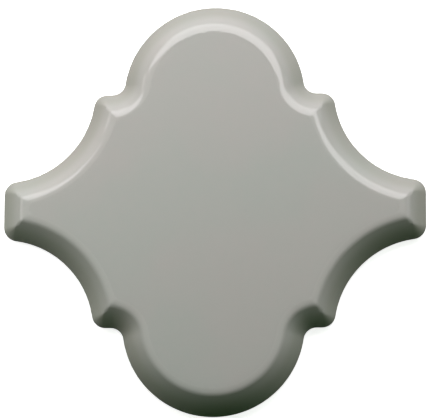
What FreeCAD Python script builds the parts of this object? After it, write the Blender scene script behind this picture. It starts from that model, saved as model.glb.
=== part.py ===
"""Bevelled arabesque wall tile, one fired ceramic piece, lying on its back.

The outline has a round lobe at the top and bottom, a flat-ended tip at each side, and between
them a small stepped shoulder and a long hollow. Tiles of this shape interlock: the lobe of one
tile fills the hollows of two others, and a shoulder fills a nook. The glazed face is a flat
field inside a bevel that follows the outline and meets itself in soft hips at the corners.
The unglazed back has a shallow recessed field crossed by keying ribs.

Frame: millimetres, X across the tips, Y up through the lobes, Z out of the glazed face.
The origin is the middle of the back, on the plane that the tile rests on.
"""

import FreeCAD
import Part
import math
import os

from FreeCAD import Vector

# Outline, seen from the face
tile_width = 150.0            # across the flat ends of the side tips
tile_height = 146.3           # over the two lobes
tip_height = 20.7             # flat end of a tip, before its corners are rounded
tip_corner_radius = 5.0
shoulder_flat = 1.9           # level run on top of the step, between its two curves
shoulder_radius = 4.8         # outer corner of the step
nook_radius = 4.6             # inner corner of the step, against the lobe
nesting_clearance = 0.2       # hollow radius over lobe radius, so that tiles interlock

# Section through the edge, from the back to the flat field
tile_thickness = 10.0         # back plane to glazed field
bevel_width = 10.0            # outline to the start of the flat field
easing_radius = 13.0          # gentle round where the field starts to fall
easing_slope = 10.0           # degrees, slope where the gentle round meets the tight one
crease_radius = 3.5           # tight round between bevel and field
crease_slope = 38.0           # degrees, slope of the bevel where the tight round ends
rim_slope = 51.0              # degrees, slope of the bevel at the rim
rim_radius = 1.0              # round between bevel and side wall
wall_draft = 6.0              # degrees, side wall leans in towards the back
foot_chamfer = 0.5            # edge of the back

# Back relief
back_border = 10.0            # plain band between the outline and the recessed field
recess_depth = 0.7
rib_width = 2.6               # at the crest of a rib
rib_pitch = 10.0
rib_draft = 30.0              # degrees, flanks of a rib

# Working allowances of the shapes that are cut away
blank_oversize = 0.5
overrun = 1.0

origin = Vector(0, 0, 0)
up = Vector(0, 0, 1)
half_width = tile_width / 2
half_height = tile_height / 2
half_tip = tip_height / 2


def solved_lobe_radius():
    """Lobe, step and hollow share the half width, and this radius makes them meet in tangents."""
    rise = (half_height - half_tip) / 2
    run = (half_width + nesting_clearance / 2 - shoulder_flat) / math.sqrt(rise)
    nook_part = 2 * nook_radius
    shoulder_part = 2 * (nesting_clearance + shoulder_radius)
    root = (run * run + nook_part - shoulder_part) / (2 * run)
    return (root * root - nook_part + rise) / 2


lobe_radius = solved_lobe_radius()
hollow_radius = lobe_radius + nesting_clearance
shoulder_height = (half_height + half_tip) / 2

# Centres of the arcs in the quarter where X and Y are positive
lobe_centre = Vector(0, half_height - lobe_radius, 0)
hollow_centre = Vector(half_width + nesting_clearance / 2, half_tip + hollow_radius, 0)


def beside(centre, reach, level, side):
    """Point at the given Y level and distance from a centre, on its +X or -X side."""
    drop = level - centre.y
    return Vector(centre.x + side * math.sqrt(reach * reach - drop * drop), level, 0)


def below(centre, reach, column):
    """Point in the given X column and at the given distance from a centre, on its -Y side."""
    offset = column - centre.x
    return Vector(column, centre.y - math.sqrt(reach * reach - offset * offset), 0)


nook_centre = beside(lobe_centre, lobe_radius + nook_radius, shoulder_height + nook_radius, +1)
shoulder_centre = beside(
    hollow_centre, hollow_radius + shoulder_radius, shoulder_height - shoulder_radius, -1
)
tip_centre = below(hollow_centre, hollow_radius + tip_corner_radius, half_width - tip_corner_radius)


def bearing(start, end):
    """Direction from one point to another, in degrees from +X."""
    return math.degrees(math.atan2(end.y - start.y, end.x - start.x))


def quarter_arcs():
    """One quarter, lobe to tip: centre, radius, bulges outwards, first and last bearing of each arc."""
    lobe_end = bearing(lobe_centre, nook_centre)
    shoulder_end = bearing(shoulder_centre, hollow_centre)
    tip_start = bearing(tip_centre, hollow_centre)
    return [
        (lobe_centre, lobe_radius, True, 90.0, lobe_end),
        (nook_centre, nook_radius, False, lobe_end + 180.0, 270.0),
        (shoulder_centre, shoulder_radius, True, 90.0, shoulder_end),
        (hollow_centre, hollow_radius, False, shoulder_end + 180.0, tip_start + 180.0),
        (tip_centre, tip_corner_radius, True, tip_start, 0.0),
    ]


def on_circle(centre, radius, angle):
    turn = math.radians(angle)
    return centre + Vector(math.cos(turn), math.sin(turn), 0) * radius


def circle_arc(centre, radius, start, end):
    """Arc edge between two bearings."""
    middle = (start + end) / 2
    points = [on_circle(centre, radius, angle) for angle in (start, middle, end)]
    return Part.Arc(*points).toShape()


def quarter_face(growth):
    """One quarter of the outline as a face, moved outwards by growth."""
    edges = []
    for centre, radius, bulges, start, end in quarter_arcs():
        size = radius + growth if bulges else radius - growth
        edge = circle_arc(centre, size, start, end)
        first = on_circle(centre, size, start)
        if edges and first.distanceToPoint(last) > 1e-6:
            edges.append(Part.makeLine(last, first))
        edges.append(edge)
        last = on_circle(centre, size, end)
    corner = Vector(half_width + growth, 0, 0)
    edges += [
        Part.makeLine(last, corner),
        Part.makeLine(corner, origin),
        Part.makeLine(origin, Vector(0, half_height + growth, 0)),
    ]
    return Part.Face(Part.Wire(Part.__sortEdges__(edges)))


def at_slope(arc, slope):
    """Depth and height of the point of a section arc where the surface has this slope."""
    depth, height, radius = arc[:3]
    turn = math.radians(slope)
    return depth - radius * math.sin(turn), height + radius * math.cos(turn)


def edge_arcs():
    """The edge section, rim to field: centre depth and height, radius, outer and inner slope."""
    easing, crease, rim = [math.sin(math.radians(a)) for a in (easing_slope, crease_slope, rim_slope)]
    crease_start = bevel_width - easing_radius * easing
    bevel_start = crease_start - crease_radius * (crease - easing)
    bevel_radius = (bevel_start - rim_radius * (1 - rim)) / (rim - crease)
    rounds = [
        (easing_radius, 0.0, easing_slope),
        (crease_radius, easing_slope, crease_slope),
        (bevel_radius, crease_slope, rim_slope),
        (rim_radius, rim_slope, 90.0 + wall_draft),
    ]
    arcs = []
    depth, height = bevel_width, tile_thickness
    for radius, inner, outer in rounds:
        turn = math.radians(inner)
        centre_depth = depth + radius * math.sin(turn)
        centre_height = height - radius * math.cos(turn)
        arcs.append((centre_depth, centre_height, radius, outer, inner))
        depth, height = at_slope(arcs[-1], outer)
    return arcs[::-1]


def edge_section(place, reach):
    """Face of all that lies outside the finished edge, up to reach inside the outline.

    place turns a depth inside the outline and a height into a point of the model.
    """
    edges = []
    arcs = edge_arcs()
    outer_depth, outer_height = at_slope(arcs[0], arcs[0][3])
    lean = math.tan(math.radians(wall_draft))
    foot_depth = outer_depth + (outer_height - foot_chamfer) * lean
    for arc in arcs:
        depth, radius, start, end = arc[0], arc[2], arc[3], arc[4]
        if at_slope(arc, start)[0] >= reach:
            break
        if at_slope(arc, end)[0] > reach:
            end = math.degrees(math.asin((depth - reach) / radius))
        points = [place(*at_slope(arc, slope)) for slope in (start, (start + end) / 2, end)]
        edges.append(Part.Arc(*points).toShape())
        inner_depth, inner_height = at_slope(arc, end)
    ceiling = tile_thickness + overrun
    corners = [
        (inner_depth, inner_height),
        (inner_depth, ceiling),
        (-overrun, ceiling),
        (-overrun, -overrun),
        (foot_depth + foot_chamfer + overrun, -overrun),
        (foot_depth, foot_chamfer),
        (outer_depth, outer_height),
    ]
    points = [place(*corner) for corner in corners]
    edges += [Part.makeLine(a, b) for a, b in zip(points, points[1:])]
    return Part.Face(Part.Wire(Part.__sortEdges__(edges)))


def border_section(place, reach):
    """Face of the plain band that frames the recess of the back, up to reach inside the outline."""
    slant = math.tan(math.radians(rib_draft))
    corners = [
        (-overrun, -overrun),
        (min(reach, back_border - overrun * slant), -overrun),
        (min(reach, back_border + (recess_depth + overrun) * slant), recess_depth + overrun),
        (-overrun, recess_depth + overrun),
    ]
    points = [place(*corner) for corner in corners]
    return Part.Face(Part.makePolygon(points + points[:1]))


def arc_sweep(section, arc):
    """Carries a section round one arc of the outline, no further in than the centre of a corner."""
    centre, radius, bulges, start, end = arc
    side = -1 if bulges else +1
    reach = radius if bulges else math.inf

    def place(depth, height):
        return on_circle(centre, radius + side * depth, start) + up * height

    return section(place, reach).revolve(centre, up, end - start)


def line_sweep(section, start, end, inwards):
    """Carries a section along one straight run of the outline."""

    def place(depth, height):
        return start + inwards * depth + up * height

    return section(place, math.inf).extrude(end - start)


def outline_sweeps(section):
    """Carries a section along every run of a quarter of the outline."""
    sweeps = [arc_sweep(section, arc) for arc in quarter_arcs()]
    step_start = nook_centre - Vector(0, nook_radius, 0)
    step_end = shoulder_centre + Vector(0, shoulder_radius, 0)
    sweeps.append(line_sweep(section, step_start, step_end, Vector(0, -1, 0)))
    tip_start = tip_centre + Vector(tip_corner_radius, 0, 0)
    tip_end = Vector(half_width, 0, 0)
    sweeps.append(line_sweep(section, tip_start, tip_end, Vector(-1, 0, 0)))
    return sweeps


def whole(quarter):
    """Mirrors a quarter across both middle planes and joins the four."""
    half = quarter.fuse(quarter.mirror(origin, Vector(1, 0, 0)))
    return half.fuse(half.mirror(origin, Vector(0, 1, 0))).removeSplitter()


def rib(x):
    """One keying rib across the back, widening into the tile."""
    flare = recess_depth * math.tan(math.radians(rib_draft))
    crest, root = rib_width / 2, rib_width / 2 + flare
    corners = [
        Vector(x - crest, -half_height, 0),
        Vector(x + crest, -half_height, 0),
        Vector(x + root, -half_height, recess_depth),
        Vector(x - root, -half_height, recess_depth),
    ]
    return Part.Face(Part.makePolygon(corners + corners[:1])).extrude(Vector(0, tile_height, 0))


def recess():
    """The hollow field of the back, with the keying ribs left standing in it."""
    field = quarter_face(0.0).extrude(up * recess_depth)
    hollow = whole(field.cut(outline_sweeps(border_section)))
    count = int(half_width / rib_pitch)
    return hollow.cut([rib(index * rib_pitch) for index in range(-count, count + 1)])


def arabesque_tile():
    """The blank, trimmed to the finished edge along the whole outline, with its back relief."""
    blank = quarter_face(blank_oversize).extrude(up * tile_thickness)
    tile = whole(blank.cut(outline_sweeps(edge_section))).cut(recess())
    return tile.Solids[0]


os.makedirs("parts", exist_ok=True)
tile = arabesque_tile()
tile.exportStep("parts/arabesque_tile.step")
print("lobe radius %.2f, hollow radius %.2f mm" % (lobe_radius, hollow_radius))
print("height of the rim %.2f mm" % edge_arcs()[0][1])
print("faces %d, valid %s, volume %.1f cm3" % (len(tile.Faces), tile.isValid(), tile.Volume / 1000))
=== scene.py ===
import bpy
import bmesh
import math
from mathutils import Matrix, Quaternion, Vector


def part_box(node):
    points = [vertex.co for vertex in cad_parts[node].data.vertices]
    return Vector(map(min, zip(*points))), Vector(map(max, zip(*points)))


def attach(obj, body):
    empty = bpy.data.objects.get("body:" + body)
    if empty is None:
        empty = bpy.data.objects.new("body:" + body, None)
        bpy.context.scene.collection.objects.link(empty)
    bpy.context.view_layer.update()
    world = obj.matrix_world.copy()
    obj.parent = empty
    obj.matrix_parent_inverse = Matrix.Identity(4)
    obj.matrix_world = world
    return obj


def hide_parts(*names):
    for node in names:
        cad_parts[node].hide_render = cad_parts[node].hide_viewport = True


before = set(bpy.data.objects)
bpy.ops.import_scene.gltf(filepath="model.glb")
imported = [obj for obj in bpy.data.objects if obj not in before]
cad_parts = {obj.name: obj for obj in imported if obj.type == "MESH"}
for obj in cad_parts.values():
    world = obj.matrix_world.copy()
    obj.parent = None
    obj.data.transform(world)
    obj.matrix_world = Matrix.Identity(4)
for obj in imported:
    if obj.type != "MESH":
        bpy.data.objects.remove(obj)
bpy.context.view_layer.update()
scene = bpy.context.scene

# camera, leaning a little towards the lower right corner of the tile as the photograph does
camera = {
    "aim": (0.28, 0.47, 2.62),      # mm, point at the middle of the picture, level with the rim
    "distance": 893.0,              # mm from that point
    "lean": 8.98,                   # degrees off straight down
    "leanTowards": -58.0,           # degrees from +X
    "roll": 0.254,                  # degrees
    "focalPixels": 2520.0,
    "pictureWidth": 429,
}


def placeCamera():
    lean, bearing, roll = (math.radians(camera[k]) for k in ("lean", "leanTowards", "roll"))
    back = Vector((math.sin(lean) * math.cos(bearing), math.sin(lean) * math.sin(bearing), math.cos(lean)))
    right = Vector((0, 1, 0)).cross(back).normalized()
    up = back.cross(right)
    turned = right * math.cos(roll) + up * math.sin(roll)
    upright = up * math.cos(roll) - right * math.sin(roll)
    data = bpy.data.cameras.new("camera")
    data.sensor_width = 36
    data.lens = camera["focalPixels"] / camera["pictureWidth"] * data.sensor_width
    data.clip_start, data.clip_end = 0.05, 20
    eye = bpy.data.objects.new("camera", data)
    eye.location = (Vector(camera["aim"]) + back * camera["distance"]) / 1000
    eye.rotation_euler = Matrix((turned, upright, back)).transposed().to_euler()
    scene.collection.objects.link(eye)
    scene.camera = eye


placeCamera()
print("camera placed")


# the tile in mm: its outline, the section through its edge and the relief of its back
tileForm = {
    "tipHeight": 20.7,
    "tipRadius": 5.0,
    "shoulderFlat": 1.9,
    "shoulderRadius": 4.8,
    "nookRadius": 4.6,
    "nestingClearance": 0.2,
    "bevelWidth": 10.0,
    "easingRadius": 13.0,
    "easingSlope": 10.0,            # degrees, and the other slopes
    "creaseRadius": 3.5,
    "creaseSlope": 38.0,
    "rimSlope": 51.0,
    "rimRadius": 1.0,
    "wallDraft": 6.0,
    "footChamfer": 0.5,
    "backBorder": 10.0,
    "recessDepth": 0.7,
    "ribWidth": 2.6,
    "ribPitch": 10.0,
}
tileSkin = {
    "meshSize": 1.2,                # mm between points on the field, halved outside it and on the back
    "halvedDepth": 11.0,            # mm inside the outline
    "finestDepths": ((-1.0, 0.9), (6.3, 10.4)),     # rim and crease, halved once more
    "finestHeight": 3.0,            # mm, above the wall
    "backTop": 1.2,                 # mm, what is lower than this and inside the wall is the back
    "backStart": 1.6,               # mm inside the outline
    "pressedEdge": 0.9,             # mm, width of the soft edges of ribs and recess
    "fieldShift": (0.4, 0.035),     # mm, how far off the middle the field is pressed
    "fieldSqueeze": 0.0066,         # share by which it is shorter from lobe to lobe
    "shiftedDepth": 7.0,            # mm inside the outline, where all of that is reached
    "hipReach": 0.6,                # mm, how near to a hip the glaze rounds it
    "hipPasses": 6,
    "hipBlend": 5.0,                # mm, how near to a hip its shading is softened at the rim
    "hipNarrowing": 0.68,           # by which that is less for each mm of depth
    "fieldEdge": (1.5, 0.3, 0.8),   # slope where the glaze breaks, share kept below it, degrees more above it
    "outsideReach": 1.0,            # mm outside the outline that a point may lie
}


# straight runs and arcs of one quarter of the outline, as the CAD has them
def quarterOutline():
    form = tileForm
    low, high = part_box("arabesque_tile")
    halfWidth, halfHeight = high.x * 1000, high.y * 1000
    halfTip = form["tipHeight"] / 2
    rise = (halfHeight - halfTip) / 2
    run = (halfWidth + form["nestingClearance"] / 2 - form["shoulderFlat"]) / math.sqrt(rise)
    nookPart = 2 * form["nookRadius"]
    shoulderPart = 2 * (form["nestingClearance"] + form["shoulderRadius"])
    root = (run * run + nookPart - shoulderPart) / (2 * run)
    lobeRadius = (root * root - nookPart + rise) / 2
    hollowRadius = lobeRadius + form["nestingClearance"]
    stepLevel = (halfHeight + halfTip) / 2
    lobe = Vector((0, halfHeight - lobeRadius))
    hollow = Vector((halfWidth + form["nestingClearance"] / 2, halfTip + hollowRadius))
    nook = Vector((0, stepLevel + form["nookRadius"]))
    nook.x = math.sqrt((lobeRadius + form["nookRadius"]) ** 2 - (nook.y - lobe.y) ** 2)
    shoulder = Vector((0, stepLevel - form["shoulderRadius"]))
    shoulder.x = hollow.x - math.sqrt((hollowRadius + form["shoulderRadius"]) ** 2 - (shoulder.y - hollow.y) ** 2)
    tip = Vector((halfWidth - form["tipRadius"], 0))
    tip.y = hollow.y - math.sqrt((hollowRadius + form["tipRadius"]) ** 2 - (tip.x - hollow.x) ** 2)

    def bearing(start, end):
        return math.atan2(end.y - start.y, end.x - start.x)

    quarter, half = math.pi / 2, math.pi
    lobeEnd, shoulderEnd, tipStart = bearing(lobe, nook), bearing(shoulder, hollow), bearing(tip, hollow)
    arcs = [
        (lobe, lobeRadius, True, lobeEnd, quarter),
        (nook, form["nookRadius"], False, lobeEnd - half, -quarter),
        (shoulder, form["shoulderRadius"], True, shoulderEnd, quarter),
        (hollow, hollowRadius, False, shoulderEnd - half, tipStart - half),
        (tip, form["tipRadius"], True, 0.0, tipStart),
    ]
    runs = [
        (stepLevel, 1, nook.x, shoulder.x),         # level of the run, its axis, and where it starts and ends
        (halfWidth, 0, 0.0, tip.y),
    ]
    return arcs, runs


# depth inside the nearest run of the outline and the way inwards from it; then how much further away the next run
# is, and the way inwards from that one
def insideOutline(x, y, arcs, runs):
    foldX, foldY = math.copysign(1, x), math.copysign(1, y)
    place = Vector((abs(x), abs(y)))
    found = []
    for level, axis, start, end in runs:
        if start <= place[1 - axis] <= end:
            inwards = Vector((0, -1)) if axis else Vector((-1, 0))
            found.append((level - place[axis], inwards))
    for centre, radius, bulges, start, end in arcs:
        arm = place - centre
        reach = arm.length
        if reach > 1e-6 and start <= math.atan2(arm.y, arm.x) <= end:
            depth = radius - reach if bulges else reach - radius
            found.append((depth, arm / (-reach if bulges else reach)))
    near = sorted((f for f in found if f[0] > -tileSkin["outsideReach"]), key=lambda f: f[0])
    depth, inwards = near[0]
    gap, beyond = (near[1][0] - depth, near[1][1]) if len(near) > 1 else (math.inf, inwards)
    return depth, Vector((inwards.x * foldX, inwards.y * foldY)), gap, Vector((beyond.x * foldX, beyond.y * foldY))


# the section through the edge as depth and height: arcs from field to rim, then the straight wall and foot
def edgeSection():
    form = tileForm
    low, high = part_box("arabesque_tile")
    thickness = (high.z - low.z) * 1000
    degrees = (0, form["easingSlope"], form["creaseSlope"], form["rimSlope"], 90 + form["wallDraft"])
    slopes = [math.radians(value) for value in degrees]
    easing, crease, rim = (math.sin(slope) for slope in slopes[1:4])
    bevelStart = form["bevelWidth"] - form["easingRadius"] * easing - form["creaseRadius"] * (crease - easing)
    bevelRadius = (bevelStart - form["rimRadius"] * (1 - rim)) / (rim - crease)
    radii = (form["easingRadius"], form["creaseRadius"], bevelRadius, form["rimRadius"])
    arcs = []
    wallTop = Vector((form["bevelWidth"], thickness))
    for radius, inner, outer in zip(radii, slopes, slopes[1:]):
        centre = wallTop + Vector((math.sin(inner), -math.cos(inner))) * radius
        wallTop = centre + Vector((-math.sin(outer), math.cos(outer))) * radius
        arcs.append((centre, radius, outer, inner))
    lean = math.tan(math.radians(form["wallDraft"]))
    footDepth = wallTop.x + (wallTop.y - form["footChamfer"]) * lean
    corners = [
        wallTop,
        Vector((footDepth, form["footChamfer"])),
        Vector((footDepth + form["footChamfer"], 0)),
        Vector((form["backBorder"], 0)),
    ]
    return thickness, arcs, list(zip(corners, corners[1:]))


# nearest place on that section, and the way the glaze faces there, nothing on the straight wall and foot
def onSection(place, section):
    thickness, arcs, straights = section
    found = []
    if place.x >= tileForm["bevelWidth"]:
        found.append((Vector((place.x, thickness)), Vector((0, 1))))
    for centre, radius, outer, inner in arcs:
        arm = place - centre
        slope = math.atan2(-arm.x, arm.y)
        if inner <= slope <= outer and arm.length > 1e-6:
            shown = slope
            if inner == 0:
                breaks, kept, more = tileSkin["fieldEdge"]
                shown = slope + math.radians(more) if slope > math.radians(breaks) else slope * kept
            found.append((centre + arm * (radius / arm.length), Vector((-math.sin(shown), math.cos(shown)))))
    for start, end in straights:
        along = end - start
        share = (place - start).dot(along) / along.length_squared
        found.append((start + along * min(max(share, 0.0), 1.0), Vector((0, 0))))
    return min(found, key=lambda spot: (spot[0] - place).length)


def smoothStep(value, start, end):
    share = min(max((value - start) / (end - start), 0.0), 1.0)
    return share * share * (3 - 2 * share)


# height of the pressed back: plain border, recessed field and the ribs across it
def backHeight(x, depth):
    soft = tileSkin["pressedEdge"]
    inside = smoothStep(depth, tileForm["backBorder"] - soft / 4, tileForm["backBorder"] + soft * 3 / 4)
    pitch = tileForm["ribPitch"]
    fromRib = abs(x - pitch * round(x / pitch)) - tileForm["ribWidth"] / 2
    beside = smoothStep(fromRib, -soft / 4, soft * 3 / 4)
    return tileForm["recessDepth"] * inside * beside


def makeTile():
    form = bmesh.new()
    form.from_mesh(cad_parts["arabesque_tile"].data)
    bmesh.ops.remove_doubles(form, verts=form.verts, dist=1e-6)
    mesh = bpy.data.meshes.new("tile")
    form.to_mesh(mesh)
    form.free()
    tile = bpy.data.objects.new("tile", mesh)
    scene.collection.objects.link(tile)
    remesh = tile.modifiers.new("even", "REMESH")
    remesh.mode = "VOXEL"
    remesh.voxel_size = tileSkin["meshSize"] / 1000
    even = bpy.data.meshes.new_from_object(tile.evaluated_get(bpy.context.evaluated_depsgraph_get()))
    tile.modifiers.clear()
    skin = bmesh.new()
    skin.from_mesh(even)
    bpy.data.meshes.remove(even)
    arcs, runs = quarterOutline()

    def depthOf(point):
        return insideOutline(point.co.x * 1000, point.co.y * 1000, arcs, runs)[0]

    def halve(chosen):
        edges = [edge for edge in skin.edges if all(point in chosen for point in edge.verts)]
        bmesh.ops.subdivide_edges(skin, edges=edges, cuts=1, use_grid_fill=True)

    backTop, finestHeight = (tileSkin[k] / 1000 for k in ("backTop", "finestHeight"))
    halve({p for p in skin.verts if p.co.z < backTop or depthOf(p) < tileSkin["halvedDepth"]})
    raised = {p: depthOf(p) for p in skin.verts if p.co.z > finestHeight}
    for start, end in tileSkin["finestDepths"]:
        halve({p for p, depth in raised.items() if p.is_valid and start < depth < end})
    section = edgeSection()
    hips, normals = [], []
    for point in skin.verts:
        x, y, z = point.co * 1000
        depth = insideOutline(x, y, arcs, runs)[0]
        if z < tileSkin["backTop"] and depth > tileSkin["backStart"]:
            point.co.z = backHeight(x, depth) / 1000
            normals.append(Vector())
            continue
        ramp = min(max(depth / tileSkin["shiftedDepth"], 0.0), 1.0)
        offX, offY = tileSkin["fieldShift"]
        offY -= tileSkin["fieldSqueeze"] * y
        depth, inwards, gap, beyond = insideOutline(x - offX * ramp, y - offY * ramp, arcs, runs)
        spot, facing = onSection(Vector((depth, z)), section)
        move = inwards * (spot.x - depth)
        point.co = Vector((x + move.x, y + move.y, spot.y)) / 1000
        blendReach = max(tileSkin["hipBlend"] - depth * tileSkin["hipNarrowing"], tileSkin["hipReach"])
        leaning = inwards.lerp(beyond, 0.5 - smoothStep(gap, 0.0, blendReach) / 2)
        normals.append(Vector((leaning.x * facing.x, leaning.y * facing.x, facing.y)))
        if gap < tileSkin["hipReach"] and depth < tileForm["bevelWidth"] + tileSkin["hipReach"]:
            hips.append(point)
    for _ in range(tileSkin["hipPasses"]):
        bmesh.ops.smooth_vert(skin, verts=hips, factor=0.5, use_axis_x=True, use_axis_y=True, use_axis_z=True)
    for face in skin.faces:
        face.smooth = True
    skin.to_mesh(mesh)
    mesh.normals_split_custom_set_from_vertices(normals)
    triangles = sum(len(face.verts) - 2 for face in skin.faces)
    skin.free()
    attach(tile, "root")
    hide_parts("arabesque_tile")
    print("tile made,", len(mesh.vertices), "points,", triangles, "triangles,", len(hips), "points on hips")
    return tile


tile = makeTile()


class Wire:
    def __init__(self, tree, socket=None):
        self.tree, self.socket = tree, socket

    def node(self, kind, settings, sockets, output=0):
        made = self.tree.nodes.new("ShaderNode" + kind)
        for name, value in settings.items():
            setattr(made, name, value)
        for name, value in sockets.items():
            if isinstance(value, Wire):
                self.tree.links.new(value.socket, made.inputs[name])
            else:
                made.inputs[name].default_value = value
        return Wire(self.tree, made.outputs[output])

    def math(self, operation, *values):
        return self.node("Math", {"operation": operation}, dict(enumerate(values)))

    def __add__(self, other):
        return self.math("ADD", self, other)

    def __radd__(self, other):
        return self.math("ADD", other, self)

    def __sub__(self, other):
        return self.math("SUBTRACT", self, other)

    def __rsub__(self, other):
        return self.math("SUBTRACT", other, self)

    def __mul__(self, other):
        return self.math("MULTIPLY", self, other)

    def __rmul__(self, other):
        return self.math("MULTIPLY", other, self)


def noise(place, scale, detail=2.0, rough=0.5):
    return place.node("TexNoise", {}, {"Vector": place, "Scale": scale, "Detail": detail, "Roughness": rough})


def fade(value, start, end):
    limits = {"Value": value, "From Min": start, "From Max": end}
    return value.node("MapRange", {"interpolation_type": "SMOOTHSTEP"}, limits)


def blend(mask, first, second):
    return mask.node("Mix", {"data_type": "RGBA"}, {0: mask, 6: first, 7: second}, 2)


# finish of the tile, lengths in mm; a noise is its scale (features to the mm), detail and roughness
glazedBody = {
    "glaze": (0.450, 0.455, 0.428, 1),
    "glazeCool": (0.437, 0.455, 0.425, 1),
    "glazeWarm": (0.462, 0.453, 0.430, 1),
    "cloudNoise": (0.022, 3.0),                 # slow change between the cool and the warm tone
    "cloudEdges": (0.38, 0.62),
    "mottleNoise": (0.35, 4.0),
    "mottleEdges": (0.3, 0.7),
    "mottleShare": 0.5,
    "rimPaintedShade": (0.885, 0.892, 0.855, 1),       # painted shade: glaze darkened and tinted on the rim, as a share of the field's
    "rising": (5.8, 8.7),                       # heights between which it comes up to the field's
    "creaseHighlight": 0.06,                         # painted highlight: how much lighter the glaze is painted in a band along the crease
    "highlightRising": (9.6, 9.9),
    "returning": (9.985, 9.999),
    "glazePool": (0.330, 0.345, 0.315, 1),      # thick rounded end of the glaze, low on the wall
    "poolReach": 0.9,
    "poolShare": 0.75,
    "glazeLine": 1.7,                           # mean height of that end above the back
    "lineSway": 1.8,
    "lineNoise": (0.13,),
    "lineFray": 0.5,
    "frayNoise": (0.7,),
    "lineEdges": (-0.1, 0.12),
    "glazeThickness": 0.12,
    "glazeRoughness": (0.04, 0.07),
    "glossNoise": (0.09, 3.0),
    "glazeIor": 1.56,
    "wave": 0.03,                               # height of the slow waves in the glaze
    "waveNoise": (0.075, 1.0),
    "peel": 0.0008,                             # and of the fine ones
    "peelNoise": (0.9, 2.0),
    "bisque": (0.700, 0.655, 0.575, 1),
    "bisqueDark": (0.575, 0.520, 0.440, 1),
    "grainNoise": (1.6, 6.0, 0.65),
    "grainEdges": (0.35, 0.75),
    "bisqueDust": (0.790, 0.765, 0.715, 1),
    "dustNoise": (0.06, 3.0),
    "dustEdges": (0.45, 0.7),
    "dustShare": 0.5,
    "bisqueRoughness": 0.88,
    "pits": 0.07,
    "pitNoise": (2.8, 5.0, 0.7),
}


def makeGlaze():
    look = glazedBody
    material = bpy.data.materials.new("glazedBody")
    material.use_nodes = True
    tree = material.node_tree
    shader = tree.nodes["Principled BSDF"]
    start = Wire(tree)
    place = start.node("TexCoord", {}, {}, 3)
    place = start.node("VectorMath", {"operation": "SCALE"}, {0: place, 3: 1000.0})
    height = start.node("SeparateXYZ", {}, {0: place}, 2)

    # where the glaze ends, and its thick end
    line = look["glazeLine"] + (noise(place, *look["lineNoise"]) - 0.5) * look["lineSway"]
    line = line + (noise(place, *look["frayNoise"]) - 0.5) * look["lineFray"]
    above = height - line
    glazed = fade(above, *look["lineEdges"])
    pool = 1 - fade(above, 0.0, look["poolReach"])

    # tone of the glaze, with painted shade darkening it towards the rim and a painted highlight lightening it
    # along the crease
    cloud = fade(noise(place, *look["cloudNoise"]), *look["cloudEdges"])
    tone = blend(cloud, look["glazeCool"], look["glazeWarm"])
    mottle = fade(noise(place, *look["mottleNoise"]), *look["mottleEdges"])
    tone = blend(mottle * look["mottleShare"], tone, look["glaze"])
    tone = blend(pool * look["poolShare"], tone, look["glazePool"])
    # painted shade: the glaze colour is darker and yellower towards the rim, standing in for shade
    paintedShade = blend(fade(height, *look["rising"]), look["rimPaintedShade"], (1, 1, 1, 1))
    tone = tone.node("VectorMath", {"operation": "MULTIPLY"}, {0: tone, 1: paintedShade})
    # painted highlight: a lighter band along the crease where it meets the field
    highlightBand = fade(height, *look["highlightRising"]) - fade(height, *look["returning"])
    tone = tone.node("VectorMath", {"operation": "SCALE"}, {0: tone, 3: 1 + highlightBand * look["creaseHighlight"]})

    # the bare body
    grain = fade(noise(place, *look["grainNoise"]), *look["grainEdges"])
    body = blend(grain, look["bisque"], look["bisqueDark"])
    dust = fade(noise(place, *look["dustNoise"]), *look["dustEdges"])
    body = blend(dust * look["dustShare"], body, look["bisqueDust"])

    colour = blend(glazed, body, tone)
    low, high = look["glazeRoughness"]
    glazeRough = low + noise(place, *look["glossNoise"]) * (high - low)
    rough = look["bisqueRoughness"] * (1 - glazed) + glazeRough * glazed

    ripple = noise(place, *look["waveNoise"]) * look["wave"] + noise(place, *look["peelNoise"]) * look["peel"]
    pits = noise(place, *look["pitNoise"]) * look["pits"]
    relief = (look["glazeThickness"] + ripple) * glazed + pits * (1 - glazed)
    bump = start.node("Bump", {}, {"Strength": 1.0, "Distance": 0.001, "Height": relief})
    shader.inputs["IOR"].default_value = look["glazeIor"]
    for name, wire in (("Base Color", colour), ("Roughness", rough), ("Normal", bump)):
        tree.links.new(wire.socket, shader.inputs[name])
    return material


tile.data.materials.clear()
tile.data.materials.append(makeGlaze())
print("glaze made")

# pale studio floor and backdrop, seen by the camera; the bounce card under the tile gives its light back
studio = {
    "floorColour": (0.86, 0.86, 0.86, 1),
    "floorGlow": 0.85,
    "floorSize": 3.0,               # m, half its side
    "backdropRadius": 4.0,          # m
    "backdropGlow": (0.93, 0.93, 0.93, 1),
    "bounceColour": (0.02, 0.025, 0.015, 1),
    "cardDrop": 0.0005,             # m below the floor
    "surroundings": (0.002, 0.034, 0.0, 1),   # a little green from the room, seen in the shade only
}


def makePlain(name, colour, glow, strength):
    material = bpy.data.materials.new(name)
    material.use_nodes = True
    inputs = material.node_tree.nodes["Principled BSDF"].inputs
    inputs["Base Color"].default_value = colour
    inputs["Roughness"].default_value = 0.9
    inputs["Specular IOR Level"].default_value = 0.0
    inputs["Emission Color"].default_value = glow
    inputs["Emission Strength"].default_value = strength
    return material


def stagePiece(name, form, material, seen):
    mesh = bpy.data.meshes.new(name)
    form.to_mesh(mesh)
    form.free()
    mesh.materials.append(material)
    piece = bpy.data.objects.new(name, mesh)
    scene.collection.objects.link(piece)
    piece.visible_camera = seen
    piece.visible_diffuse = piece.visible_glossy = not seen
    piece.visible_transmission = piece.visible_shadow = False
    return piece


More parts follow.
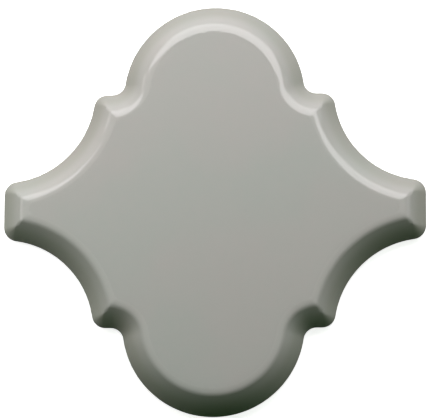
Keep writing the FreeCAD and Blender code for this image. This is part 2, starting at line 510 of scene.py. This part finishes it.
def makeStage():
    white, black = (1, 1, 1, 1), (0, 0, 0, 1)
    form = bmesh.new()
    bmesh.ops.create_grid(form, x_segments=1, y_segments=1, size=studio["floorSize"])
    stagePiece("floor", form, makePlain("paleFloor", studio["floorColour"], white, studio["floorGlow"]), True)
    form = bmesh.new()
    bmesh.ops.create_grid(form, x_segments=1, y_segments=1, size=studio["floorSize"])
    bmesh.ops.translate(form, verts=form.verts, vec=(0, 0, -studio["cardDrop"]))
    stagePiece("bounceCard", form, makePlain("bounceCard", studio["bounceColour"], white, 0.0), False)
    form = bmesh.new()
    bmesh.ops.create_uvsphere(form, u_segments=48, v_segments=24, radius=studio["backdropRadius"])
    stagePiece("backdrop", form, makePlain("backdrop", black, studio["backdropGlow"], 1.0), True)
    world = bpy.data.worlds.new("studio")
    scene.world = world
    world.use_nodes = True
    world.node_tree.nodes["Background"].inputs["Color"].default_value = studio["surroundings"]


makeStage()


# soft boxes: zenith, bearing and turn in degrees, distance and size in m, glow as the light of each colour
mirrored = {            # seen in the glaze only
    "key": (39.6, 88.0, -10.0, 0.6, (0.79, 0.446), (3.50, 3.39, 3.49)),
    "underKey": (67.0, 85.0, 0.0, 0.5, (0.75, 0.17), (0.87, 0.85, 0.87)),
    "leftSide": (62.0, 165.0, 0.0, 0.5, (0.24, 0.29), (1.60, 1.52, 1.54)),
    "rightSide": (62.0, 15.0, 0.0, 0.5, (0.24, 0.29), (0.95, 0.93, 0.95)),
}
fills = {               # light without a mirror image
    "high": (51.1, 80.2, -11.1, 0.6, (0.61, 0.38), (3.34, 3.19, 3.38)),
    "behind": (50.0, 90.0, 0.0, 0.6, (0.26, 0.26), (2.74, 2.63, 2.75)),
    "behindRight": (50.0, 30.0, 0.0, 0.6, (0.26, 0.26), (2.29, 2.23, 2.25)),
    "behindLeft": (50.0, 150.0, 0.0, 0.6, (0.26, 0.26), (0.36, 0.32, 0.31)),
    "right": (70.0, 0.0, 0.0, 0.6, (0.26, 0.26), (0.15, 0.20, 0.08)),
    "lowRight": (70.0, 60.0, 0.0, 0.6, (0.26, 0.26), (2.35, 2.28, 2.35)),
    "low": (70.0, 90.0, 0.0, 0.6, (0.26, 0.26), (0.62, 0.58, 0.63)),
    "lowLeft": (70.0, 120.0, 0.0, 0.6, (0.26, 0.26), (2.47, 2.36, 2.46)),
    "lowestRight": (84.0, 30.0, 0.0, 0.6, (0.26, 0.26), (1.02, 1.04, 0.92)),
    "lowestLeft": (84.0, 150.0, 0.0, 0.6, (0.26, 0.26), (2.85, 2.85, 2.60)),
    "rightTip": (72.0, 15.0, 0.0, 0.45, (0.25, 0.25), (0.28, 0.33, 0.24)),
    "leftTip": (72.0, 165.0, 0.0, 0.45, (0.25, 0.25), (1.15, 1.07, 0.98)),
    "left": (45.0, 160.0, 0.0, 0.3, (0.15, 0.15), (3.20, 3.00, 3.04)),
}


def makeLight(name, mirror, zenith, bearing, turn, distance, size, glow):
    data = bpy.data.lights.new(name, "AREA")
    data.shape = "RECTANGLE"
    data.size, data.size_y = size
    strength = max(glow)
    data.color = [part / strength for part in glow]
    data.energy = strength * math.pi * size[0] * size[1]
    lamp = bpy.data.objects.new(name, data)
    lean, around = math.radians(zenith), math.radians(bearing)
    towards = Vector((math.sin(lean) * math.cos(around), math.sin(lean) * math.sin(around), math.cos(lean)))
    lamp.location = towards * distance
    facing = towards.to_track_quat("Z", "Y") @ Quaternion((0, 0, 1), math.radians(turn))
    lamp.rotation_euler = facing.to_euler()
    lamp.visible_camera = False
    lamp.visible_glossy, lamp.visible_diffuse = mirror, not mirror
    scene.collection.objects.link(lamp)


for mirror, boxes in ((True, mirrored), (False, fills)):
    for name, light in boxes.items():
        makeLight(name, mirror, *light)
scene.view_settings.view_transform = "Standard"
print("stage lit")
